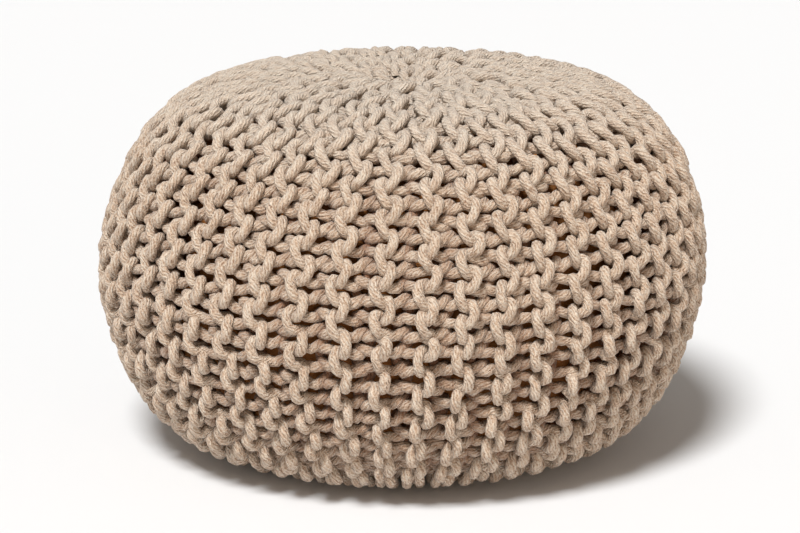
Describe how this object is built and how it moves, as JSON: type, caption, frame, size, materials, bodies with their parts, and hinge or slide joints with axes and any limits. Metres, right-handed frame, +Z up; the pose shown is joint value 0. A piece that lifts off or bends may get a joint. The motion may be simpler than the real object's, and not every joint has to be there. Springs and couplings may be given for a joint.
{
  "type": "knitted pouf",
  "caption": "Round filled floor pouf in a cover of thick cotton cord, knitted so that its ridges run from pole to pole, over a brown cloth bag.",
  "frame": {"origin": "centre of the flat underside, on the floor", "axes": "+Z up through both poles; -Y towards the side that the picture shows"},
  "size_m": [0.4992, 0.4992, 0.3103],
  "materials": {
    "cotton_cord": "matte twisted cotton cord, undyed beige",
    "bag_cloth": "matte plain woven cotton, dark brown"
  },
  "bodies": {
    "root": {"knitted_cover": "cotton_cord", "inner_casing": "bag_cloth"}
  },
  "joints": []
}
